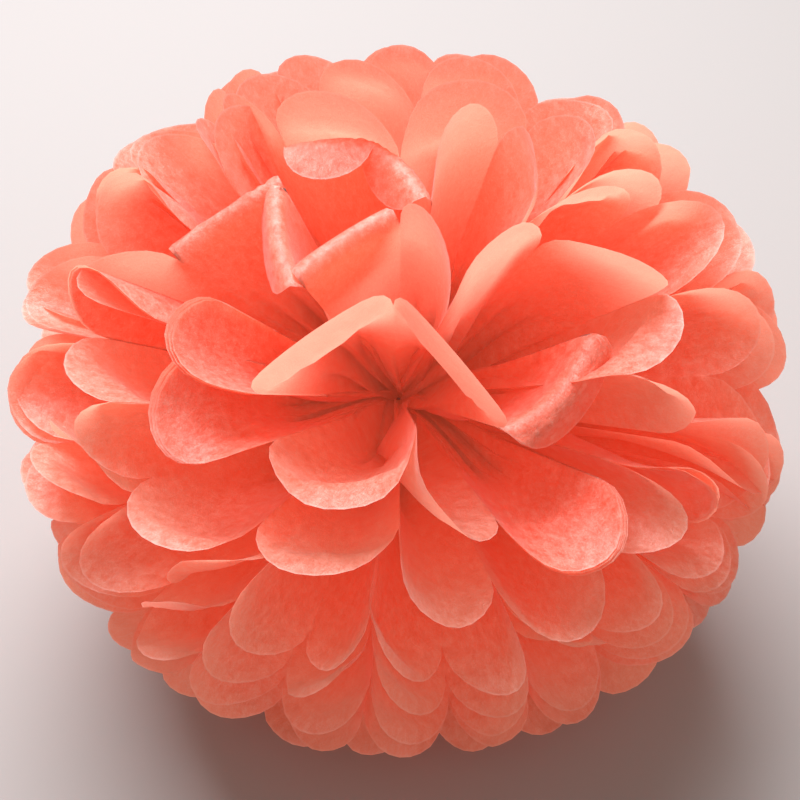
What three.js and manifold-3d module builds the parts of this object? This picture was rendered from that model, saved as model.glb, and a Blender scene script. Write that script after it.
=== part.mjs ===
// Tissue paper pom pom: a stack of tissue sheets folded to and fro like a fan, rounded at both
// ends, tied round the middle with wire, and opened out into a ball that rests on the table.
// Millimetres, +Z up, the crown of the ball leans towards -Y.
import * as THREE from "three";
import Module from "manifold-3d";

// ---- the ball ----
const HALF_WIDTH = 125; // along X, the length of a petal from the tie to its round tip
const HALF_DEPTH = 115; // along Y
const HALF_HEIGHT = 113; // along Z, before the table flattens the underside
const TIE_HEIGHT = 96; // of the wire tie above the table
const CROWN_TILT = 42; // degrees from +Z towards -Y

// ---- the sheets ----
// Degrees between the crown axis and the middle line of each sheet's petals, from the crown down.
const SHEET_ANGLES = [17, 27, 37, 47, 57.5, 68.5, 80, 92, 106, 121, 138, 158];
const PANELS = 12; // panels of one folded sheet, each about 42 mm wide: 12 petals to each half
const THICKNESS = 0.5; // tissue is 0.03 mm, drawn thicker here so that it is a sound solid
const FOLD_END = 0.83; // share of the petal's length where the fold stops and the round tip begins
const TIP_MIDDLE = 0.9; // share of the length at the middle of the round tip
const PLEAT_ROWS = [
  // share of the length, and degrees that a fold stands above or below the middle line
  [0.18, 3],
  [0.5, 8],
  [FOLD_END, 7],
];
const TIP_POINTS = 4; // points on each round tip between its two fold ends
const LEAST_FOLD_SHARE = 0.42; // folds near the crown keep this share of their sheet's own angle

// ---- the neck and the tie ----
const NECK_BALL = 6.6; // the flattened necks of all the sheets fit in a ball of this radius
const NECK_STACK = 11.6; // height of the stack of necks
const SLIT_HALF_WIDTH = 1.1; // the gap between the two halves of a sheet
const SLIT_AZIMUTH = -10; // degrees round the crown axis
const WIRE_RADIUS = 0.5;
const WIRE_LOOP = 7.8;
const TWIST_RADIUS = 0.75;
const TWIST_LENGTH = 9;

const TISSUE = new THREE.MeshStandardMaterial({ name: "tissue", color: 0xf0694a, roughness: 0.85 });
const WIRE = new THREE.MeshStandardMaterial({
  name: "wire",
  color: 0x9a9c9a,
  roughness: 0.4,
  metalness: 0.9,
});

const rad = THREE.MathUtils.degToRad;
const crownToWorld = new THREE.Matrix4().makeRotationX(rad(CROWN_TILT));

// Unit vector at an angle from the crown axis and an azimuth round it, in the part's frame.
function direction(angle, azimuth) {
  const a = rad(angle);
  const z = rad(azimuth);
  return new THREE.Vector3(
    Math.sin(a) * Math.cos(z),
    Math.sin(a) * Math.sin(z),
    Math.cos(a),
  ).applyMatrix4(crownToWorld);
}

// How far the ball reaches from the tie in a direction.
function reach(d) {
  return 1 / Math.hypot(d.x / HALF_WIDTH, d.y / HALF_DEPTH, d.z / HALF_HEIGHT);
}

// A point at a share of the petal's length. What would go below the table lies flat on it,
// turned outwards.
function petalPoint(angle, azimuth, share) {
  const d = direction(angle, azimuth);
  const p = d.clone().multiplyScalar(share * reach(d));
  const depth = THICKNESS / 2 - TIE_HEIGHT - p.z;
  if (depth > 0) {
    const out = new THREE.Vector3(d.x, d.y, 0);
    const slide = (0.8 * depth) / Math.abs(d.z);
    if (out.length() > 1e-3) p.addScaledVector(out.normalize(), slide);
    p.z += depth;
  }
  return p;
}

// Degrees from the crown axis of a fold line: even folds stand towards the crown, odd ones away.
function foldAngle(sheetAngle, fold, opening) {
  const nearCrown = sheetAngle * (1 - LEAST_FOLD_SHARE);
  const nearPole = (180 - sheetAngle) * (1 - LEAST_FOLD_SHARE);
  const open = Math.min(opening, nearCrown, nearPole);
  return fold % 2 === 0 ? sheetAngle - open : sheetAngle + open;
}

// The open surface of one sheet: a neck, and two halves of PANELS petals each.
function sheetSurface(index) {
  const sheetAngle = SHEET_ANGLES[index];
  const points = [];
  const faces = [];
  const add = (p) => points.push(p) - 1;

  const neckHeight = NECK_STACK * (0.5 - index / (SHEET_ANGLES.length - 1));
  const neckRadius = Math.sqrt(NECK_BALL ** 2 - neckHeight ** 2);
  const centre = add(new THREE.Vector3(0, 0, neckHeight).applyMatrix4(crownToWorld));
  const neckEdge = [];

  for (const side of [0, 1]) {
    const start = SLIT_AZIMUTH + 180 * side;
    // Azimuth of a column at a radius: even columns are folds, the outermost two border the slit.
    const azimuthOf = (column, radius) => {
      const gap = THREE.MathUtils.radToDeg(Math.asin(SLIT_HALF_WIDTH / radius));
      return start + gap + ((180 - 2 * gap) * column) / (2 * PANELS);
    };
    const columns = [...Array(2 * PANELS + 1).keys()];

    const neckRow = columns.map((column) => {
      const z = rad(azimuthOf(column, neckRadius));
      const p = new THREE.Vector3(
        neckRadius * Math.cos(z),
        neckRadius * Math.sin(z),
        neckHeight,
      );
      return add(p.applyMatrix4(crownToWorld));
    });
    neckEdge.push(...neckRow);

    const rows = [neckRow];
    let lastAngles = [];
    let lastAzimuths = [];
    for (const [share, opening] of PLEAT_ROWS) {
      const angles = columns.map((column) =>
        column % 2 === 0 ? foldAngle(sheetAngle, column / 2, opening) : sheetAngle,
      );
      const azimuths = columns.map((column) => {
        const radius = share * HALF_DEPTH * Math.sin(rad(angles[column]));
        return azimuthOf(column, Math.max(radius, 2 * SLIT_HALF_WIDTH));
      });
      rows.push(columns.map((column) => add(petalPoint(angles[column], azimuths[column], share))));
      lastAngles = angles;
      lastAzimuths = azimuths;
    }

    for (let r = 0; r + 1 < rows.length; r++) {
      for (let c = 0; c < 2 * PANELS; c++) {
        const [a, b] = [rows[r][c], rows[r][c + 1]];
        const [d, e] = [rows[r + 1][c], rows[r + 1][c + 1]];
        // Both halves of a panel are split alike about its middle.
        if (c % 2 === 0) faces.push([a, d, e], [a, e, b]);
        else faces.push([a, d, b], [b, d, e]);
      }
    }

    // The round tip of each panel, as a fan about its middle.
    const last = rows[rows.length - 1];
    for (let c = 1; c < 2 * PANELS; c += 2) {
      const arc = [last[c - 1]];
      for (let k = 1; k <= TIP_POINTS; k++) {
        const turn = (Math.PI * k) / (TIP_POINTS + 1);
        const across = 0.5 - 0.5 * Math.cos(turn);
        const angle = THREE.MathUtils.lerp(lastAngles[c - 1], lastAngles[c + 1], across);
        const azimuth = THREE.MathUtils.lerp(lastAzimuths[c - 1], lastAzimuths[c + 1], across);
        arc.push(add(petalPoint(angle, azimuth, FOLD_END + (1 - FOLD_END) * Math.sin(turn))));
      }
      arc.push(last[c + 1], last[c]);
      const middle = add(petalPoint(lastAngles[c], lastAzimuths[c], TIP_MIDDLE));
      arc.forEach((v, k) => faces.push([middle, v, arc[(k + 1) % arc.length]]));
    }
  }

  neckEdge.forEach((v, k) => faces.push([centre, v, neckEdge[(k + 1) % neckEdge.length]]));
  return { points, faces };
}

// Gives an open surface the tissue's thickness and closes it round its edges.
function thicken({ points, faces }) {
  const normals = points.map(() => new THREE.Vector3());
  const edgeUse = new Map();
  for (const [a, b, c] of faces) {
    const normal = new THREE.Vector3()
      .subVectors(points[b], points[a])
      .cross(new THREE.Vector3().subVectors(points[c], points[a]))
      .normalize();
    for (const [v, next, before] of [[a, b, c], [b, c, a], [c, a, b]]) {
      const one = new THREE.Vector3().subVectors(points[next], points[v]);
      const two = new THREE.Vector3().subVectors(points[before], points[v]);
      normals[v].addScaledVector(normal, one.angleTo(two));
      edgeUse.set(`${v},${next}`, [v, next]);
    }
  }

  const position = [];
  const floor = -TIE_HEIGHT;
  for (const side of [1, -1]) {
    points.forEach((p, v) => {
      const q = p.clone().addScaledVector(normals[v].normalize(), (side * THICKNESS) / 2);
      const onTable = p.z < floor + THICKNESS / 2 + 1e-6;
      if (onTable) q.z = side * normals[v].z > 0 ? floor + THICKNESS : floor;
      q.z = Math.max(q.z, floor);
      position.push(q.x, q.y, q.z);
    });
  }

  const n = points.length;
  const index = [];
  for (const [a, b, c] of faces) index.push(a, b, c, c + n, b + n, a + n);
  for (const [a, b] of edgeUse.values()) {
    if (!edgeUse.has(`${b},${a}`)) index.push(b, a, a + n, b, a + n, b + n);
  }
  const geometry = new THREE.BufferGeometry();
  geometry.setAttribute("position", new THREE.Float32BufferAttribute(position, 3));
  geometry.setIndex(index);
  return geometry;
}

// The wire: a ring round all the necks, through the slits, with its ends twisted into a tail.
async function wireTie() {
  const { Manifold, CrossSection } = await Module().then((wasm) => (wasm.setup(), wasm));
  const ring = Manifold.revolve(CrossSection.circle(WIRE_RADIUS, 8).translate([WIRE_LOOP, 0]), 32);
  const twist = Manifold.cylinder(TWIST_LENGTH, TWIST_RADIUS, TWIST_RADIUS * 0.8, 10)
    .rotate([0, 90, 0])
    .translate([WIRE_LOOP, 0, 0]);
  const mesh = ring.add(twist).getMesh();
  const geometry = new THREE.BufferGeometry();
  geometry.setAttribute("position", new THREE.BufferAttribute(mesh.vertProperties, 3));
  geometry.setIndex(new THREE.BufferAttribute(mesh.triVerts, 1));
  // The ring stands in the plane of the crown axis and the slits.
  geometry.rotateX(Math.PI / 2);
  geometry.rotateZ(rad(SLIT_AZIMUTH));
  return geometry.applyMatrix4(crownToWorld);
}

const pieces = SHEET_ANGLES.map((angle, i) => {
  const mesh = new THREE.Mesh(thicken(sheetSurface(i)), TISSUE);
  mesh.name = `sheet_${String(i + 1).padStart(2, "0")}`;
  return mesh;
});
const tie = new THREE.Mesh(await wireTie(), WIRE);
tie.name = "wire_tie";
pieces.push(tie);

// The origin is under the middle of the ball, on the table.
const bounds = new THREE.Box3();
pieces.forEach((mesh) => bounds.expandByObject(mesh));
const middle = bounds.getCenter(new THREE.Vector3());

const pomPom = new THREE.Group();
pomPom.name = "tissue_pom_pom";
pieces.forEach((mesh) => {
  mesh.geometry.translate(-middle.x, -middle.y, -bounds.min.z);
  mesh.geometry.computeVertexNormals();
  pomPom.add(mesh);
});

export default pomPom;
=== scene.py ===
# %% [markdown]
# # A tissue paper pom pom
#
# A stack of tissue sheets is folded to and fro like a fan, the two ends of the folded strip are
# cut round, and a wire is tied round its middle. The two halves are fanned out until they meet,
# and the sheets are pulled apart one at a time, some towards the crown and some towards the
# underside, until the petals fill a ball. This lesson dresses the plain CAD part: every sheet
# becomes one fine, thin, cupped and curled mesh, and the tie becomes a twisted wire.

# %% Load the fixed frame
import math

import bpy
import numpy as np
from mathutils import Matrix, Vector


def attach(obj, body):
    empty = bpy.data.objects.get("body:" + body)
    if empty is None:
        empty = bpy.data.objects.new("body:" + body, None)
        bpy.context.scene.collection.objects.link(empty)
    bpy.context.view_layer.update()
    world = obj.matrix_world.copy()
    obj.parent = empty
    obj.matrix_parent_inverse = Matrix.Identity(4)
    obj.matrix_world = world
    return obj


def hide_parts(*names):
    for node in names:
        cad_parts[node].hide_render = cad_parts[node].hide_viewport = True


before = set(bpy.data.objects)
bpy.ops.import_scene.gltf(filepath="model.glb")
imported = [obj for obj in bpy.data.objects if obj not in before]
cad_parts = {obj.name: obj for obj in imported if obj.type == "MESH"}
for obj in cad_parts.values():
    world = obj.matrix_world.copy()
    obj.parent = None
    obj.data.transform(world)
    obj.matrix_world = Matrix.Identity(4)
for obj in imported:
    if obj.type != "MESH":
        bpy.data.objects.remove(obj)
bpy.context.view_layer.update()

# %% [markdown]
# ## The measures of the ball
#
# Everything is measured from the wire tie in the middle of the ball. A direction is given as a
# bearing round the crown axis and a lean away from it, both in degrees: a lean of 0 points
# straight out of the crown, 90 points at the widest ring of petals, and 180 is the underside's
# middle. The crown leans over from upright, as a ball that was put down carelessly does.

# %% Measures of the ball
TIE_HEIGHT = 0.096
REACH = np.array([0.125, 0.115, 0.113])  # from the tie to the outline, in x, y and z
CROWN_TILT = math.radians(42)
SHEET_LEANS = [17, 27, 37, 47, 57.5, 68.5, 80, 92, 106, 121, 138, 158]
PANELS = 12  # to each half of a sheet
SHEET_LENGTH = 0.5
PANEL_WIDTH = SHEET_LENGTH / PANELS
FOLD_END = 0.83  # where the round tip begins, as a share of the petal
SLIT_BEARING = -10  # where the two halves of every sheet meet

tie = np.array([0, 0, TIE_HEIGHT])
cos_tilt, sin_tilt = math.cos(CROWN_TILT), math.sin(CROWN_TILT)
crown_to_world = np.array([[1, 0, 0], [0, cos_tilt, -sin_tilt], [0, sin_tilt, cos_tilt]])


def unit(v):
    """Vectors scaled to length one."""
    return v / np.maximum(np.linalg.norm(v, axis=-1, keepdims=True), 1e-12)


def pointing(bearing, lean):
    """Unit vectors in the crown's own frame, from bearings and leans in degrees."""
    b, l = np.radians(bearing), np.radians(lean)
    return np.stack([np.sin(l) * np.cos(b), np.sin(l) * np.sin(b), np.cos(l)], -1)


def reach(direction):
    """How far the ball goes from the tie in directions of the crown's frame."""
    world = direction @ crown_to_world.T
    return 1 / np.linalg.norm(world / REACH, axis=-1, keepdims=True)


print("reach to the crown:", reach(pointing(0, 0)).round(4))
print("reach across:", reach(pointing(0, 90)).round(4))

# %% [markdown]
# ## Small random differences that neighbours share
#
# Nobody opens two petals alike, but the sheets were folded together, so what happens to a petal
# of one sheet happens, a little less, to the petals behind it. A sum of a few slow waves gives
# such a shared difference: it is smooth, it repeats after one turn, and a fixed seed makes it
# the same in each run.

# %% Smooth random waves
WAVES = 5
FEWEST_REPEATS = 1
MOST_REPEATS = 6
DRIFT_PER_SHEET = 0.35
WAVE_HEIGHT = 1.6


def slow_waves(seed):
    """A smooth function of bearing and sheet, between about -1 and 1."""
    rng = np.random.default_rng(seed)
    turns = rng.integers(FEWEST_REPEATS, MOST_REPEATS + 1, WAVES)
    drifts = rng.uniform(-DRIFT_PER_SHEET, DRIFT_PER_SHEET, WAVES)
    phases = rng.uniform(0, 2 * math.pi, WAVES)
    sizes = rng.uniform(0.5, 1, WAVES)
    sizes = sizes / sizes.sum()

    def at(bearing, sheet):
        angle = np.radians(bearing)[..., None] * turns + drifts * sheet + phases
        return (np.sin(angle) * sizes).sum(-1) * WAVE_HEIGHT

    return at


lean_sway = slow_waves(11)
bearing_sway = slow_waves(12)
opening_sway = slow_waves(13)
print("sway at bearing 0:", float(lean_sway(np.array(0.0), 0)))

# %% [markdown]
# ## Fold lines
#
# A panel of tissue is held by its two fold lines, so the whole look of a sheet is set by where
# its folds point. A fold can't be further from the next than a panel is wide. To move a fold
# nearer to the crown or away from it, its bearing is kept and only its lean is changed.

# %% Bearings and leans of directions
def lean_of(direction):
    """Degrees between directions and the crown axis."""
    return np.degrees(np.arccos(np.clip(direction[..., 2], -1, 1)))


def bearing_of(direction):
    """Degrees round the crown axis."""
    return np.degrees(np.arctan2(direction[..., 1], direction[..., 0]))


def at_lean(direction, lean):
    """The same bearings at other leans."""
    flat = direction.copy()
    flat[..., 2] = 0
    flat = unit(flat)
    l = np.radians(lean)[..., None]
    return flat * np.sin(l) + np.array([0, 0, 1]) * np.cos(l)


print("a lean of 30 moved to 50:", lean_of(at_lean(pointing(20, 30), np.array(50.0))).round(1))

# %% [markdown]
# ## Sheets that are opened evenly
#
# Left to itself, a sheet opens like a fan that is pulled to and fro: its even folds stand towards
# the crown and its odd folds away from it, by an amount that opens the panels nearly flat. A
# little shared sway and a little chance for each fold take the machine out of it.

# %% Sheets that are opened evenly
TYPICAL_REACH = 0.12
NEARLY_FLAT = 0.87
OPENED_MOST = 0.7
NEAREST_TO_AXIS = 3
OPENING_SWAY_SHARE = 0.2
LEAN_SWAY_DEGREES = 1.5
BEARING_SWAY_DEGREES = 2.0
LEAN_CHANCE = 1.0
BEARING_CHANCE = 0.8
HALF_TURNED_BY = 5
FOLD_SEED = 100


def fold_opening(lean):
    """Degrees that a fold stands off its sheet's middle line, for panels opened nearly flat."""
    across = 2 * math.sin(math.radians(180 / PANELS / 2)) * math.sin(math.radians(lean))
    opened = NEARLY_FLAT * PANEL_WIDTH / (FOLD_END * TYPICAL_REACH)
    along = math.sqrt(max(0.0, opened**2 - across**2))
    return math.degrees(along) / 2


def plain_folds(sheet):
    """Fold directions of a sheet opened evenly, 2 x 13 x 3."""
    rng = np.random.default_rng(FOLD_SEED + sheet)
    fold = np.arange(PANELS + 1)
    plain = np.stack([SLIT_BEARING + side * 180 + fold * 180 / PANELS for side in (0, 1)])
    to_crown = np.where(fold % 2 == 0, 1, -1)
    lean = SHEET_LEANS[sheet]
    opening = min(fold_opening(lean), OPENED_MOST * lean, OPENED_MOST * (180 - lean))
    opening = opening * (1 + OPENING_SWAY_SHARE * opening_sway(plain, sheet))
    leans = lean - to_crown * opening + LEAN_SWAY_DEGREES * lean_sway(plain, sheet)
    leans = leans + rng.normal(0, LEAN_CHANCE, leans.shape)
    bearings = plain + BEARING_SWAY_DEGREES * bearing_sway(plain, sheet)
    bearings = bearings + rng.normal(0, BEARING_CHANCE, plain.shape)
    bearings = bearings + rng.uniform(-HALF_TURNED_BY, HALF_TURNED_BY, (2, 1))
    return pointing(bearings, np.clip(leans, NEAREST_TO_AXIS, 180 - NEAREST_TO_AXIS))


print("degrees off the middle line:", [round(fold_opening(lean), 1) for lean in SHEET_LEANS])

# %% [markdown]
# ## Sheets that are opened by hand
#
# The crown is what one looks at, and there a maker places each petal. So the two sheets nearest
# the crown are given fold by fold, and a few folds of the next two were pushed over. Where folds
# go to and fro between the same two places, the petals lie nested behind each other.

# %% Folds placed one by one
NESTED_STEP = 0.7


def nested(first, second, pairs):
    """Folds that go to and fro between two places, each pair a little below the last."""
    folds = []
    for pair in range(pairs):
        folds.append((first[0], first[1] + NESTED_STEP * pair))
        folds.append((second[0], second[1] + NESTED_STEP * pair))
    return folds


# Each fold is (bearing, lean) in degrees, given in steps of five.
HAND_OPENED = {
    0: (
        nested((335, 15), (15, 30), 3)[::-1] + [(95, 10)] + nested((185, 20), (155, 30), 3),
        nested((205, 20), (170, 30), 3)[::-1] + [(290, 5)] + nested((305, 25), (335, 35), 3),
    ),
    1: (
        [(350, 45), (0, 25), (20, 45), (45, 30), (55, 10), (90, 25), (135, 20), (120, 40)]
        + [(150, 45)] + nested((165, 40), (170, 55), 2),
        [(170, 55), (185, 35), (200, 45), (225, 30), (270, 20), (295, 35), (320, 40)]
        + nested((340, 35), (335, 55), 3),
    ),
}
# Single folds that were pushed over by hand in the next two sheets: (sheet, half, fold).
PUSHED = {
    (2, 0, 6): (80, 30),
    (2, 0, 7): (95, 45),
    (2, 0, 8): (115, 50),
    (3, 0, 6): (90, 40),
    (3, 0, 7): (115, 55),
    (3, 0, 8): (130, 45),
}
print("sheets opened by hand:", len(HAND_OPENED), "single folds pushed over:", len(PUSHED))

# %% [markdown]
# ## Sheets that follow the one above
#
# Every other sheet lies behind the one above it. The first of them keeps clear of the petals that
# were placed by hand, and each later one is partly an even sheet and partly a copy of the sheet
# above, one step further from the crown. Then neighbouring folds are eased together or apart, so
# that panels are neither pulled flat nor pinched shut. Pushed folds go last and keep their place.

# %% Folds of every sheet
MEMORY = 0.4
LEAST_STEP = 0.6
SAME_BEARING = 5
EVEN_FOLD_CLEAR = 4
ODD_FOLD_CLEAR = 8
ODD_BELOW_EVEN = 10
CLOSEST_FOLDS = 14.0
WIDEST_FOLDS = 22.0
EASING_ROUNDS = 40
EASING_SHARE = 0.3
MAY_RISE = 2


def lean_already_used(folds, bearing):
    """How far from the crown the panels of a sheet reach at these bearings."""
    t = np.linspace(0, 1, 9)[:, None, None, None]
    along_panels = unit(folds[:, :-1] * (1 - t) + folds[:, 1:] * t).reshape(-1, 3)
    away = np.abs((bearing_of(along_panels) - bearing[..., None] + 180) % 360 - 180)
    leans = np.where(away < SAME_BEARING, lean_of(along_panels), 0)
    return leans.max(-1)


def kept_apart(folds):
    """Folds eased towards an angle from the next between the closest and the widest one."""
    lowest = lean_of(folds) - MAY_RISE
    for _ in range(EASING_ROUNDS):
        gap = folds[:, 1:] - folds[:, :-1]
        apart = np.degrees(2 * np.arcsin(np.linalg.norm(gap, axis=-1) / 2))
        wanted = np.clip(apart, CLOSEST_FOLDS, WIDEST_FOLDS)
        shift = gap * ((wanted / apart - 1) * EASING_SHARE)[..., None]
        folds[:, 1:] += shift
        folds[:, :-1] -= shift
        folds = at_lean(unit(folds), np.maximum(lean_of(folds), lowest))
    return folds


def clear_of_hand_opened(even, above):
    """An even sheet, moved from the crown until it lies behind a sheet opened by hand."""
    used = lean_already_used(above, bearing_of(even))
    even_fold = np.arange(PANELS + 1) % 2 == 0
    clear = np.where(even_fold, used + EVEN_FOLD_CLEAR, used + ODD_FOLD_CLEAR)
    leans = np.maximum(lean_of(even), clear)
    beside = (leans[:, :-2:2] + leans[:, 2::2]) / 2
    leans[:, 1::2] = np.maximum(leans[:, 1::2], beside + ODD_BELOW_EVEN)
    return at_lean(even, leans)


def remembering(even, above, step):
    """A mix of an even sheet and the sheet above it, moved from the crown by a step."""
    followed = at_lean(above, np.minimum(lean_of(above) + step, 180 - NEAREST_TO_AXIS))
    mixed = unit(MEMORY * followed + (1 - MEMORY) * even)
    return at_lean(mixed, np.maximum(lean_of(mixed), lean_of(above) + LEAST_STEP * step))


def all_folds():
    """Fold directions of every sheet, from the crown to the underside."""
    found = []
    for sheet, lean in enumerate(SHEET_LEANS):
        if sheet in HAND_OPENED:
            by_hand = np.array(HAND_OPENED[sheet], float)
            found.append(pointing(by_hand[..., 0], by_hand[..., 1]))
            continue
        even = plain_folds(sheet)
        if sheet - 1 in HAND_OPENED:
            folds = clear_of_hand_opened(even, found[-1])
        else:
            folds = remembering(even, found[-1], lean - SHEET_LEANS[sheet - 1])
        folds = kept_apart(folds)
        for (at_sheet, side, fold), (bearing, pushed_lean) in PUSHED.items():
            if at_sheet == sheet:
                folds[side, fold] = pointing(bearing, pushed_lean)
        found.append(folds)
    return found


fold_directions = all_folds()
for sheet in (0, 2, 5, 11):
    print("sheet", sheet + 1, "leans", lean_of(fold_directions[sheet][0]).round(0))
for sheet, folds in enumerate(fold_directions):
    apart = np.degrees(np.arccos((folds[:, 1:] * folds[:, :-1]).sum(-1)))
    print("sheet", sheet + 1, "degrees between folds:", apart.min().round(1), apart.max().round(1))

# %% [markdown]
# ## One half of a sheet as a grid
#
# Twelve panels stand side by side. Across a panel the columns crowd towards the folds, because
# the round tip is steepest there. Along it the rows run from the tie to the cut edge, which is
# straight up to the fold's end and then nearly a half circle. A panel that is wider than the gap
# between its folds has to bulge, and it cups like a spoon with its hollow to the crown.

# %% The grid of a half sheet
COLUMNS = 14
ROWS = 34
ROW_CROWDING = 0.9
u_of_panel = -np.cos(np.pi * np.arange(COLUMNS + 1) / COLUMNS)


def smooth_step(low, high, x):
    """0 below low, 1 above high, and smooth between."""
    t = np.clip((x - low) / (high - low), 0, 1)
    return t * t * (3 - 2 * t)


def grid_of_half():
    """Panel number and place across it of each column, and places along it of each row."""
    panel = np.repeat(np.arange(PANELS), COLUMNS)
    u = np.tile(u_of_panel[:-1], PANELS)
    panel = np.append(panel, PANELS - 1)
    u = np.append(u, 1.0)
    tip = FOLD_END + (1 - FOLD_END) * np.sqrt(np.clip(1 - u**2, 0, 1))
    v = np.linspace(0, 1, ROWS + 1) ** ROW_CROWDING
    along = v[:, None] * tip[None, :]
    return panel, u, tip, along


panel_of, u_of, tip_of, along_of = grid_of_half()
print("half sheet grid:", along_of.shape)

# %% [markdown]
# ## What hands do to a petal
#
# A petal that is opened by hand cups a little, curls back towards its end and gets a turned rim.
# Most petals differ by chance: part of it is shared by all sheets and part is each petal's own.
# Those round the crown were handled one by one, and some are rolled right over. A cup is a share
# of the slack between the folds. A curl is a curvature, in 1/m, that starts at a share of the
# petal's length and stops after a most angle in radians. A turned rim is a height in metres.

# %% How each panel cups, curls and turns its rim
# What petals usually do, the chance that sheets share, and each petal's own chance.
USUAL = {
    "cup": (0.60, 0.12, 0.10),
    "curl": (5, 4, 4),
    "rim": (0.0012, 0.0010, 0.0008),
}
USUAL_START = 0.55
USUAL_MOST = 3.0
OWN_SEED = 500
SHARED_SEED = 900
# Petals that were handled one by one: (sheet, half, panels) and what was done.
HANDLED = {
    (0, 0, (0, 1, 2, 3, 4)): {"cup": 0.35, "curl": 260, "start": 0.83, "most": 2.3},
    (0, 0, (5,)): {"cup": 0.60, "curl": -2, "rim": -0.002},
    (0, 0, (6,)): {"cup": 0.60, "curl": -2, "rim": -0.002},
    (0, 0, (7, 8, 9, 10, 11)): {"cup": 0.50, "curl": 6, "start": 0.7},
    (0, 1, (0, 1, 2, 3, 4)): {"cup": 0.45, "curl": 45, "start": 0.74, "most": 1.5},
    (0, 1, (5,)): {"cup": 0.85, "curl": 14},
    (0, 1, (6,)): {"cup": 0.85, "curl": 4},
    (0, 1, (7, 8, 9, 10, 11)): {"cup": 0.35, "curl": 8},
    (1, 0, (1,)): {"cup": 0.50, "curl": 30, "start": 0.78},
    (1, 0, (2,)): {"cup": 0.25, "curl": -4, "rim": 0},
    (1, 0, (3,)): {"cup": 0.10, "curl": 5},
    (1, 0, (4,)): {"cup": 0.40, "curl": 0},
    (1, 0, (5,)): {"cup": 0.12, "curl": 400, "start": 0.83, "most": 2.7, "rim": 0},
    (1, 0, (6,)): {"cup": 0.20, "curl": 400, "start": 0.83, "most": 2.6, "rim": 0},
    (1, 0, (7,)): {"cup": 0.15, "curl": 400, "start": 0.83, "most": 2.6, "rim": 0},
    (1, 1, (7, 8, 9, 10, 11)): {"cup": 0.45, "curl": 30, "start": 0.79},
    (2, 0, (6,)): {"cup": 0.15, "curl": -300, "start": 0.83, "most": 2.75, "rim": 0},
    (2, 0, (7,)): {"cup": 0.15, "curl": -300, "start": 0.83, "most": 2.0, "rim": 0},
    (3, 0, (6,)): {"cup": 0.60, "curl": 2, "rim": 0.003},
}


def manners_of(sheet, side):
    """How each panel cups, curls (from where on, at most how far) and turns its rim."""
    own = np.random.default_rng(OWN_SEED + 2 * sheet + side)
    shared = np.random.default_rng(SHARED_SEED + side)
    by_chance = 0.0 if sheet in HAND_OPENED else 1.0
    manner = {}
    for key, (usual, shared_size, own_size) in USUAL.items():
        chance = shared_size * shared.normal(size=PANELS) + own_size * own.normal(size=PANELS)
        manner[key] = usual + by_chance * chance
    manner["start"] = np.full(PANELS, USUAL_START)
    manner["most"] = np.full(PANELS, USUAL_MOST)
    for (at_sheet, at_side, panels), done in HANDLED.items():
        if (at_sheet, at_side) == (sheet, side):
            for key, value in done.items():
                manner[key][list(panels)] = value
    return manner


print("curls of a plain sheet:", manners_of(5, 0)["curl"].round(1))

# %% [markdown]
# ## The surface between two folds
#
# Near the tie a panel has far more width than the gap between its folds, so the paper lies in
# small gathers there. Further out the gathers fade and the same slack makes the cup. Under a
# sharp fold two cups would meet, so they stay shallow there, except in the sheets placed by hand
# and in the last ones of the underside. Each surface is worked out as a formula rather than by a
# cloth run, because the order of the folds then stays the folded one.

# %% Lines of the folds and room under them
FOLD_BEND = 0.06
PANEL_STIFFNESS = 0.26
FULL_CUPS_FROM = 9
SHARPEST_COSINE = 0.999
WIDE_OPEN = 2.2


def fold_lines(direction, along):
    """Points along folds of these directions, bending away from the crown towards their ends."""
    outward = unit(np.cross(np.cross(direction, [0, 0, 1]), direction) * -1)
    turned = unit(direction + outward * (FOLD_BEND * along**2)[..., None])
    return turned * reach(turned) * along[..., None]


def room_under_folds(direction):
    """How deep each panel may cup, as a share of its chord, before it meets its neighbour."""
    room = np.full(PANELS, 1.0)
    for fold in range(2, PANELS, 2):
        spokes = unit(direction[[fold - 1, fold + 1]] - direction[fold])
        opening = math.acos(np.clip(spokes[0] @ spokes[1], -1, SHARPEST_COSINE))
        room[[fold - 1, fold]] = PANEL_STIFFNESS * math.tan(min(opening, WIDE_OPEN) / 2)
    return room


print("room in a plain sheet:", room_under_folds(fold_directions[5][0]).round(2))

# %% [markdown]
# ## Cups, gathers and curls
#
# A cup moves the paper away from the crown, most in the middle of a panel. The gathers are a wave
# across the panel that uses up the slack near the tie. A curl bends the outer part of the petal
# round an arc and lets what is left over run on straight.

# %% Cups and gathers
GATHERS = 3
CUP_GROWS = (0.02, 0.5)
DEEPEST_CUP = 2.2
GATHERS_BEGIN = (0.0, 0.04)
GATHERS_FADE = (0.38, 0.66)
GATHER_FULLNESS = 1.15
DEEPEST_GATHER = 0.7


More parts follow.
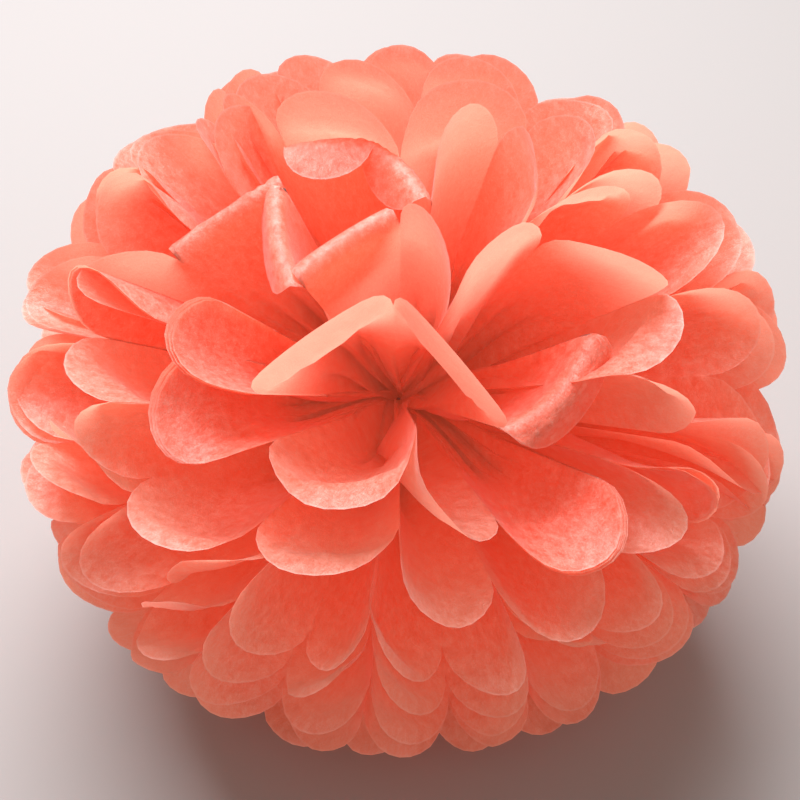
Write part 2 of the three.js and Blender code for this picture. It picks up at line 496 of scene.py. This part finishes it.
def cupped_and_gathered(first_fold, second_fold, normal, cup, room):
    """Points between two fold lines, with the slack of each panel put in its cup and gathers."""
    t = ((1 + u_of) / 2)[None, :, None]
    points = first_fold * (1 - t) + second_fold * t
    chord = np.linalg.norm(first_fold - second_fold, axis=-1)
    spare = np.sqrt(np.clip(PANEL_WIDTH**2 - chord**2, 0, None))
    sag = cup[panel_of] * 0.5 * np.minimum(spare, DEEPEST_CUP * chord)
    sag = np.minimum(sag, room[panel_of] * chord)
    sag = sag * smooth_step(*CUP_GROWS, along_of) * (1 - u_of**2)[None]
    points = points - normal * sag[..., None]
    gathered = smooth_step(*GATHERS_BEGIN, along_of) * (1 - smooth_step(*GATHERS_FADE, along_of))
    depth = np.minimum(GATHER_FULLNESS * spare / (4 * GATHERS), DEEPEST_GATHER * chord)
    pleat = np.sin(2 * math.pi * GATHERS * t[..., 0]) * depth * gathered
    return points + normal * pleat[..., None]


print("gathers in a panel:", GATHERS, "that fade out from", GATHERS_FADE[0], "to", GATHERS_FADE[1])

# %% Curls
HELD_BEFORE = 0.8  # a curl that starts before this share is held by the folds beside it
NO_CURL = 1e-3


def curled(points, middle, normal, manner, room):
    """Points with the outer part of each petal bent round the arc of its curl."""
    start = manner["start"][panel_of]
    past = np.clip(along_of - start, 0, None) * reach(middle)[:, 0][None]
    held = np.where(start < HELD_BEFORE, 1 - u_of**4, 1)
    free = np.where(manner["curl"] > 0, np.minimum(1, 2 * room), 1)
    curl = ((manner["curl"] * free)[panel_of] * held)[None]
    curl = np.where(np.abs(curl) < NO_CURL, NO_CURL, curl)
    rolled = np.minimum(past, (manner["most"][panel_of])[None] / np.abs(curl))
    turn = curl * rolled
    straight = past - rolled
    onward = np.sin(turn) / curl + straight * np.cos(turn) - past
    downward = (1 - np.cos(turn)) / curl + straight * np.sin(turn)
    points = points + middle[None] * onward[..., None]
    return points - normal * downward[..., None]


sharpest = max(abs(done["curl"]) for done in HANDLED.values())
print("smallest radius of a curl:", round(1000 / sharpest, 1), "mm")

# %% [markdown]
# ## A whole half sheet
#
# With the helpers above, half a sheet is its fold lines, the cups and gathers between them, the
# curls, and last the rim, which turns up or down only in the outer part of each petal.

# %% The surface of a half sheet
RIM_STARTS = 0.80


def half_surface(sheet, side):
    """Points of one half of a sheet, rows x columns, in the crown's own frame."""
    direction = fold_directions[sheet][side]
    manner = manners_of(sheet, side)
    room = np.full(PANELS, 1.0)
    if sheet not in HAND_OPENED and sheet < FULL_CUPS_FROM:
        room = room_under_folds(direction)
    left = direction[panel_of]
    right = direction[panel_of + 1]
    middle = unit(left + right)
    normal = unit(np.cross(middle, right - left))
    normal = (normal * np.where(normal[:, 2:] < 0, -1, 1))[None]

    first_fold = fold_lines(left[None], along_of)
    second_fold = fold_lines(right[None], along_of)
    points = cupped_and_gathered(first_fold, second_fold, normal, manner["cup"], room)
    points = curled(points, middle, normal, manner, room)
    near_rim = smooth_step(RIM_STARTS, 1.0, along_of / tip_of) ** 1.5 * (1 - u_of**8)
    return points + normal * (manner["rim"][panel_of] * near_rim)[..., None]


print("half surface:", half_surface(5, 0).shape)

# %% [markdown]
# ## The neck
#
# All sheets are tied along one line across their middle. There both halves of a sheet meet, its
# folds lie side by side, and the wire goes round the whole stack, so just beside it the halves
# keep a small gap.

# %% Necks under the wire
NECK_BALL = 0.0062
NECK_STACK = 0.0105
NECK_GAP = 0.0012
NECK_FADES = (0.0, 0.10)
GAP_OPENS = (0, 0.004)
GAP_CLOSES = (0.010, 0.030)
slit_way = pointing(SLIT_BEARING, 90)
side_ways = [pointing(SLIT_BEARING + 90, 90), pointing(SLIT_BEARING - 90, 90)]


def gathered_at_neck(points, sheet, side):
    """A half surface whose first row is drawn together on the tied line of its sheet."""
    height = NECK_STACK * (0.5 - sheet / (len(SHEET_LEANS) - 1))
    half_length = math.sqrt(NECK_BALL**2 - height**2)
    place = (panel_of + (1 + u_of) / 2) / PANELS
    along_slit = half_length * (1 - 2 * place) * (1 - 2 * side)
    line = along_slit[:, None] * slit_way + np.array([0, 0, height])
    away = np.linalg.norm(points, axis=-1)
    fade = 1 - smooth_step(*NECK_FADES, along_of)
    gap = smooth_step(*GAP_OPENS, away) * (1 - smooth_step(*GAP_CLOSES, away))
    return points + line[None] * fade[..., None] + side_ways[side] * (NECK_GAP * gap)[..., None]


tied_row = gathered_at_neck(half_surface(5, 0), 5, 0)[0]
print("width of a neck (m):", np.linalg.norm(tied_row[0] - tied_row[-1]).round(4))

# %% [markdown]
# ## The table
#
# The ball weighs little more than a letter, but its lowest petals still give way. What would go
# through the table lies flat on it instead, and slides outwards. Sheets take turns at three
# heights, so that petals of neighbouring sheets don't lie in one plane.

# %% Petals pressed on the table
LOWEST_LAYER = 0.0004
LAYER_STEP = 0.00025
LAYERS = 3
PRESS_SOFTNESS = 0.0015
SLIDE_SHARE = 0.8
LEAST_STEEPNESS = 0.3


def rest_on_table(points, layer):
    """World points with what is below the table laid on it."""
    depth = LOWEST_LAYER + LAYER_STEP * layer - points[..., 2]
    pressed = PRESS_SOFTNESS * np.logaddexp(0, depth / PRESS_SOFTNESS)
    rise = np.where(depth > -6 * PRESS_SOFTNESS, pressed, 0)
    out = points - tie
    steep = np.maximum(np.abs(unit(out)[..., 2]), LEAST_STEEPNESS)
    flat = out.copy()
    flat[..., 2] = 0
    slide = unit(flat) * (SLIDE_SHARE * np.clip(depth, 0, None) / steep)[..., None]
    points = points + slide
    points[..., 2] += rise
    return points


below = rest_on_table(np.array([[0.02, 0.0, -0.01]]), 0)
print("a point 10 mm below the table ends at", below[0].round(4))

# %% [markdown]
# ## Every sheet as one mesh
#
# The two halves of a sheet share the row of points on the tied line, as one piece of paper does.
# The mesh also carries the flat place of each point on the paper, so that fibres follow the
# paper through every curl, and how far each point is from the cut edge.

# %% Flat places and numbers of the points
SHEET_REACH = 0.125


def flat_places(side):
    """Where the points of a half lie on the flat sheet, rows x columns x 2, in metres."""
    x = (panel_of + (1 + u_of) / 2) * PANEL_WIDTH
    y = along_of * SHEET_REACH
    if side == 1:
        x = PANELS * PANEL_WIDTH - x
        y = -y
    return np.stack([np.broadcast_to(x, y.shape), y], -1)


def point_numbers(side):
    """Number of each point of a half in its sheet. Both halves share the row on the tied line."""
    rows, columns = along_of.shape
    numbers = side * rows * columns + np.arange(rows * columns).reshape(rows, columns)
    if side == 1:
        numbers[0] = np.arange(columns)[::-1]
        numbers[1:] -= columns
    return numbers


print("points of a sheet:", point_numbers(1).max() + 1)

# %% Build the sheets
def sheet_mesh(sheet):
    """One sheet as an object, with its flat places and how far each point is from the rim."""
    name = f"tissue_sheet_{sheet + 1:02d}"
    verts = []
    faces = []
    paper = []
    rim = []
    for side in (0, 1):
        points = gathered_at_neck(half_surface(sheet, side), sheet, side)
        points = rest_on_table(points @ crown_to_world.T + tie, sheet % LAYERS)
        not_shared = slice(side, None)
        verts.append(points[not_shared].reshape(-1, 3))
        paper.append(flat_places(side)[not_shared].reshape(-1, 2))
        rim.append(((tip_of[None] - along_of) * SHEET_REACH)[not_shared].reshape(-1))
        grid = point_numbers(side)
        quads = np.stack([grid[:-1, :-1], grid[:-1, 1:], grid[1:, 1:], grid[1:, :-1]], -1)
        faces.append(quads.reshape(-1, 4))
    mesh = bpy.data.meshes.new(name)
    mesh.from_pydata(np.concatenate(verts).tolist(), [], np.concatenate(faces).tolist())
    corner_vertex = np.empty(len(mesh.loops), np.int32)
    mesh.loops.foreach_get("vertex_index", corner_vertex)
    layer = mesh.uv_layers.new(name="paper")
    layer.data.foreach_set("uv", np.concatenate(paper)[corner_vertex].astype(np.float32).ravel())
    mesh.attributes.new("from_rim", "FLOAT", "POINT").data.foreach_set(
        "value", np.concatenate(rim).astype(np.float32)
    )
    mesh.polygons.foreach_set("use_smooth", np.ones(len(mesh.polygons), bool))
    mesh.update()
    piece = bpy.data.objects.new(name, mesh)
    bpy.context.scene.collection.objects.link(piece)
    return piece


sheets = [sheet_mesh(i) for i in range(len(SHEET_LEANS))]
print("sheets:", len(sheets), "faces each:", len(sheets[0].data.polygons))

# %% [markdown]
# ## Shader sums as Python
#
# A material is a graph of nodes, which is slow to read as code. With one small class around a
# socket, a sum on it adds the node that does that sum, so a finish reads like its formula.

# %% A socket that can be added and multiplied
class Value:
    """A socket of a material, so that sums on it add nodes."""

    def __init__(self, maker, socket):
        self.maker = maker
        self.socket = socket

    def sum(self, operation, first, second):
        return self.maker.node("ShaderNodeMath", {"operation": operation}, {0: first, 1: second})

    def __add__(self, other):
        return self.sum("ADD", self, other)

    def __radd__(self, other):
        return self.sum("ADD", other, self)

    def __sub__(self, other):
        return self.sum("SUBTRACT", self, other)

    def __rsub__(self, other):
        return self.sum("SUBTRACT", other, self)

    def __mul__(self, other):
        return self.sum("MULTIPLY", self, other)

    def __rmul__(self, other):
        return self.sum("MULTIPLY", other, self)


# %% A maker of materials
class Maker:
    """Adds nodes to one material."""

    def __init__(self, name):
        self.material = bpy.data.materials.new(name)
        self.material.use_nodes = True
        self.tree = self.material.node_tree
        self.tree.nodes.clear()
        self.output = self.tree.nodes.new("ShaderNodeOutputMaterial")

    def node(self, kind, settings=None, inputs=None, output=0):
        """Any node: its type, its settings and its inputs, as numbers, colours or Values."""
        made = self.tree.nodes.new(kind)
        for key, value in (settings or {}).items():
            setattr(made, key, value)
        for key, value in (inputs or {}).items():
            if isinstance(value, Value):
                self.tree.links.new(value.socket, made.inputs[key])
            else:
                made.inputs[key].default_value = value
        return Value(self, made.outputs[output])

    def colour_mix(self, amount, first, second):
        """A mix of two colours by an amount from 0 to 1."""
        inputs = {0: amount, 6: first, 7: second}
        return self.node("ShaderNodeMix", {"data_type": "RGBA"}, inputs, output=2)

    def finish(self, shader):
        """The material, with this shader on its surface."""
        self.tree.links.new(shader.socket, self.output.inputs["Surface"])
        return self.material


# %% [markdown]
# ## Tissue paper
#
# Tissue weighs about 17 grams a square metre, so light goes through it: a petal lit from behind
# glows, and deep between the petals the light has gone through so much dyed paper that only its
# red is left. So the paper is part silky face and part translucent. Where fibres lie densest the
# sheet is paler and lets less light through, which gives the cloudy look of tissue. A cut edge
# is painted paler, a painted highlight for the light that it catches. A small constant glow stands
# for light that goes round inside the ball.

# %% Tissue paper
DEEP_CORAL = (0.93, 0.25, 0.15, 1)
PALE_CORAL = (0.98, 0.58, 0.46, 1)
# The next colour is a painted highlight for the cut edges, not a colour of the paper.
CUT_EDGE_HIGHLIGHT = (1.0, 0.66, 0.56, 1)
LIGHT_THROUGH = (0.97, 0.41, 0.28, 1)
INNER_GLOW = (1.0, 0.25, 0.115, 1)
SHEEN_TINT = (1.0, 0.88, 0.94, 1)


def tissue_paper():
    """Coral tissue: thin enough to glow, silky, cloudy with fibres and finely crinkled."""
    m = Maker("coral_tissue")
    place = m.node("ShaderNodeUVMap", {"uv_map": "paper"})
    fibre_place = m.node("ShaderNodeMapping", {}, {"Vector": place, "Scale": (1.0, 0.75, 1.0)})
    cloud = m.node(
        "ShaderNodeTexNoise", {},
        {"Vector": fibre_place, "Scale": 330.0, "Detail": 8.0, "Roughness": 0.72},
    )
    fibre = m.node(
        "ShaderNodeTexNoise", {},
        {"Vector": fibre_place, "Scale": 1500.0, "Detail": 4.0, "Distortion": 1.5},
    )
    crinkle = m.node(
        "ShaderNodeTexNoise", {},
        {"Vector": place, "Scale": 90.0, "Detail": 8.0, "Roughness": 0.6, "Distortion": 0.6},
    )
    from_rim = m.node("ShaderNodeAttribute", {"attribute_name": "from_rim"}, {}, output=2)
    # Painted highlight: near the cut edge the colour is mixed towards a paler coral, for the light
    # that the rim catches.
    rim_highlight = m.node(
        "ShaderNodeMapRange", {"interpolation_type": "SMOOTHSTEP"},
        {"Value": from_rim, "From Min": 0.0002, "From Max": 0.0009, "To Min": 1.0, "To Max": 0.0},
    )
    mottle = cloud * 0.6 + fibre * 0.4
    spread = m.node(
        "ShaderNodeMapRange", {},
        {"Value": mottle, "From Min": 0.38, "From Max": 0.62, "To Min": 0.0, "To Max": 1.0},
    )
    ground = m.colour_mix(spread, DEEP_CORAL, PALE_CORAL)
    colour = m.colour_mix(rim_highlight * 0.8, ground, CUT_EDGE_HIGHLIGHT)
    height = crinkle * 0.7 + fibre * 0.3
    bump = m.node("ShaderNodeBump", {}, {"Strength": 0.5, "Distance": 0.0010, "Height": height})
    face = m.node(
        "ShaderNodeBsdfPrincipled", {},
        {"Base Color": colour, "Roughness": 0.46, "Normal": bump, "Sheen Weight": 0.45,
         "Sheen Roughness": 0.4, "Sheen Tint": SHEEN_TINT, "Specular IOR Level": 1.0,
         "Emission Color": INNER_GLOW, "Emission Strength": 0.20},
    )
    glow = m.node("ShaderNodeBsdfTranslucent", {}, {"Color": LIGHT_THROUGH, "Normal": bump})
    both = m.node("ShaderNodeMixShader", {}, {0: 0.70 - spread * 0.22, 1: face, 2: glow})
    return m.finish(both)


tissue = tissue_paper()
for piece in sheets:
    piece.data.materials.append(tissue)
print("material:", tissue.name, len(tissue.node_tree.nodes), "nodes")

# %% [markdown]
# ## The wire tie
#
# Florists' wire goes once round the folded strip and its ends are twisted together. Almost all
# of it is hidden, so a bevelled curve does: two ends that wind round each other and one ring.

# %% The wire tie
WIRE_RADIUS = 0.0004
RING_RADIUS = 0.0078
TAIL_LENGTH = 0.0088
TAIL_TURNS = 4
TWIST_RADIUS = 0.0005
TAIL_POINTS = 25
RING_POINTS = 40


def tail_points(shares, half_turn):
    """One of the two twisted ends: share 0 is at its tip and share 1 on the ring."""
    points = []
    for t in shares:
        swing = TAIL_LENGTH * (1 - t)
        a = TAIL_TURNS * math.pi * 2 * t + half_turn
        points.append((RING_RADIUS + swing, TWIST_RADIUS * math.sin(a), TWIST_RADIUS * math.cos(a)))
    return points


def wire_tie():
    """A ring of thin wire round the necks, its two ends twisted into a tail."""
    curve = bpy.data.curves.new("wire_tie_twisted", "CURVE")
    curve.dimensions = "3D"
    curve.bevel_depth = WIRE_RADIUS
    curve.bevel_resolution = 3
    path = tail_points(np.linspace(0, 1, TAIL_POINTS), 0)
    for t in np.linspace(0.03, 0.97, RING_POINTS):
        a = 2 * math.pi * t
        path.append((RING_RADIUS * math.cos(a), 0, RING_RADIUS * math.sin(a)))
    path += tail_points(np.linspace(1, 0, TAIL_POINTS), math.pi)
    c, s = math.cos(math.radians(SLIT_BEARING)), math.sin(math.radians(SLIT_BEARING))
    slit_to_crown = np.array([[c, -s, 0], [s, c, 0], [0, 0, 1]])
    world = np.array(path) @ slit_to_crown.T @ crown_to_world.T + tie
    spline = curve.splines.new("POLY")
    spline.points.add(len(world) - 1)
    spline.points.foreach_set("co", np.c_[world, np.ones(len(world))].ravel())
    piece = bpy.data.objects.new("wire_tie_twisted", curve)
    bpy.context.scene.collection.objects.link(piece)
    return piece


def craft_wire():
    """Plain thin wire, drawn and slightly dull."""
    m = Maker("craft_wire")
    place = m.node("ShaderNodeTexCoord", {}, {}, output=3)
    drawn = m.node("ShaderNodeTexNoise", {}, {"Vector": place, "Scale": 900.0, "Detail": 3.0})
    shade = m.colour_mix(drawn, (0.30, 0.31, 0.30, 1), (0.48, 0.48, 0.47, 1))
    face = m.node(
        "ShaderNodeBsdfPrincipled", {},
        {"Base Color": shade, "Metallic": 0.9, "Roughness": drawn * 0.3 + 0.25},
    )
    return m.finish(face)


wire = wire_tie()
wire.data.materials.append(craft_wire())
print("wire points:", len(wire.data.splines[0].points))

# %% [markdown]
# ## The pieces and the frame
#
# Each fine sheet takes the place of one plain CAD sheet and moves with the same body. Its area is
# printed as a share of the cut area of the flat sheet, which is less than the rectangle, because
# its ends are cut round.

# %% Tell the frame what stands for what
PETAL_AREA = PANEL_WIDTH * SHEET_REACH * (FOLD_END + math.pi / 4 * (1 - FOLD_END))
for i, piece in enumerate(sheets):
    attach(piece, "root")
    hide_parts(f"sheet_{i + 1:02d}")
    made_area = sum(face.area for face in piece.data.polygons)
    print(piece.name, "area share", round(made_area / (2 * PANELS * PETAL_AREA), 2))
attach(wire, "root")
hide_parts("wire_tie")
print("flat area of a sheet:", round(2 * PANELS * PETAL_AREA, 4))

# %% [markdown]
# ## The floor
#
# The ball lies on a plain pale cloth, large enough that no view from the side shows its end close
# by. It isn't part of the object, so it is not attached to any body.

# %% A pale floor
FLOOR_HALF = 8.0


def pale_floor():
    """A pale cloth on a table."""
    h = FLOOR_HALF
    mesh = bpy.data.meshes.new("pale_floor")
    mesh.from_pydata([(-h, -h, 0), (h, -h, 0), (h, h, 0), (-h, h, 0)], [], [(0, 1, 2, 3)])
    cloth = bpy.data.objects.new("pale_floor", mesh)
    bpy.context.scene.collection.objects.link(cloth)
    m = Maker("pale_cloth")
    face = m.node(
        "ShaderNodeBsdfPrincipled", {},
        {"Base Color": (0.37, 0.365, 0.345, 1), "Roughness": 0.9},
    )
    cloth.data.materials.append(m.finish(face))
    return cloth


floor = pale_floor()
print("floor width:", 2 * FLOOR_HALF, "m")

# %% [markdown]
# ## Light
#
# Soft light comes from behind and above, as from a window, and goes through the petals towards
# the viewer. A faint second light and a warm even surround keep the near side from going dark.

# %% Soft lights
AIM = (0, 0, 0.10)


def area_light(name, place, size, power, colour):
    """A square soft light that points at the ball."""
    data = bpy.data.lights.new(name, "AREA")
    data.shape = "SQUARE"
    data.size = size
    data.energy = power
    data.color = colour
    lamp = bpy.data.objects.new(name, data)
    lamp.location = place
    lamp.rotation_euler = (Vector(AIM) - Vector(place)).to_track_quat("-Z", "Y").to_euler()
    bpy.context.scene.collection.objects.link(lamp)


area_light("sky", place=(-0.2, 0.5, 1.05), size=1.0, power=31, colour=(1.0, 0.94, 1.0))
area_light("front_fill", place=(0.15, -0.8, 1.0), size=0.8, power=1.2, colour=(1.0, 0.96, 0.95))
room = bpy.data.worlds.new("soft_room")
room.use_nodes = True
surround = room.node_tree.nodes["Background"]
surround.inputs["Color"].default_value = (1.0, 0.95, 0.88, 1)
surround.inputs["Strength"].default_value = 0.35
bpy.context.scene.world = room
bpy.context.scene.view_settings.view_transform = "Standard"

# %% [markdown]
# ## Camera
#
# The camera looks down at half a right angle, onto the crown. It aims at the tie, so the ball
# stays in the middle of the frame.

# %% Camera
CAMERA_ELEVATION = math.radians(45)
CAMERA_DISTANCE = 0.50
CAMERA_LENS = 70
camera_data = bpy.data.cameras.new("camera")
camera_data.lens = CAMERA_LENS
camera = bpy.data.objects.new("camera", camera_data)
look_at = Vector((0, 0, TIE_HEIGHT))
towards_camera = Vector((0, -math.cos(CAMERA_ELEVATION), math.sin(CAMERA_ELEVATION)))
camera.location = look_at + CAMERA_DISTANCE * towards_camera
camera.rotation_euler = (look_at - camera.location).to_track_quat("-Z", "Y").to_euler()
bpy.context.scene.collection.objects.link(camera)
bpy.context.scene.camera = camera
print("camera at", [round(x, 3) for x in camera.location])
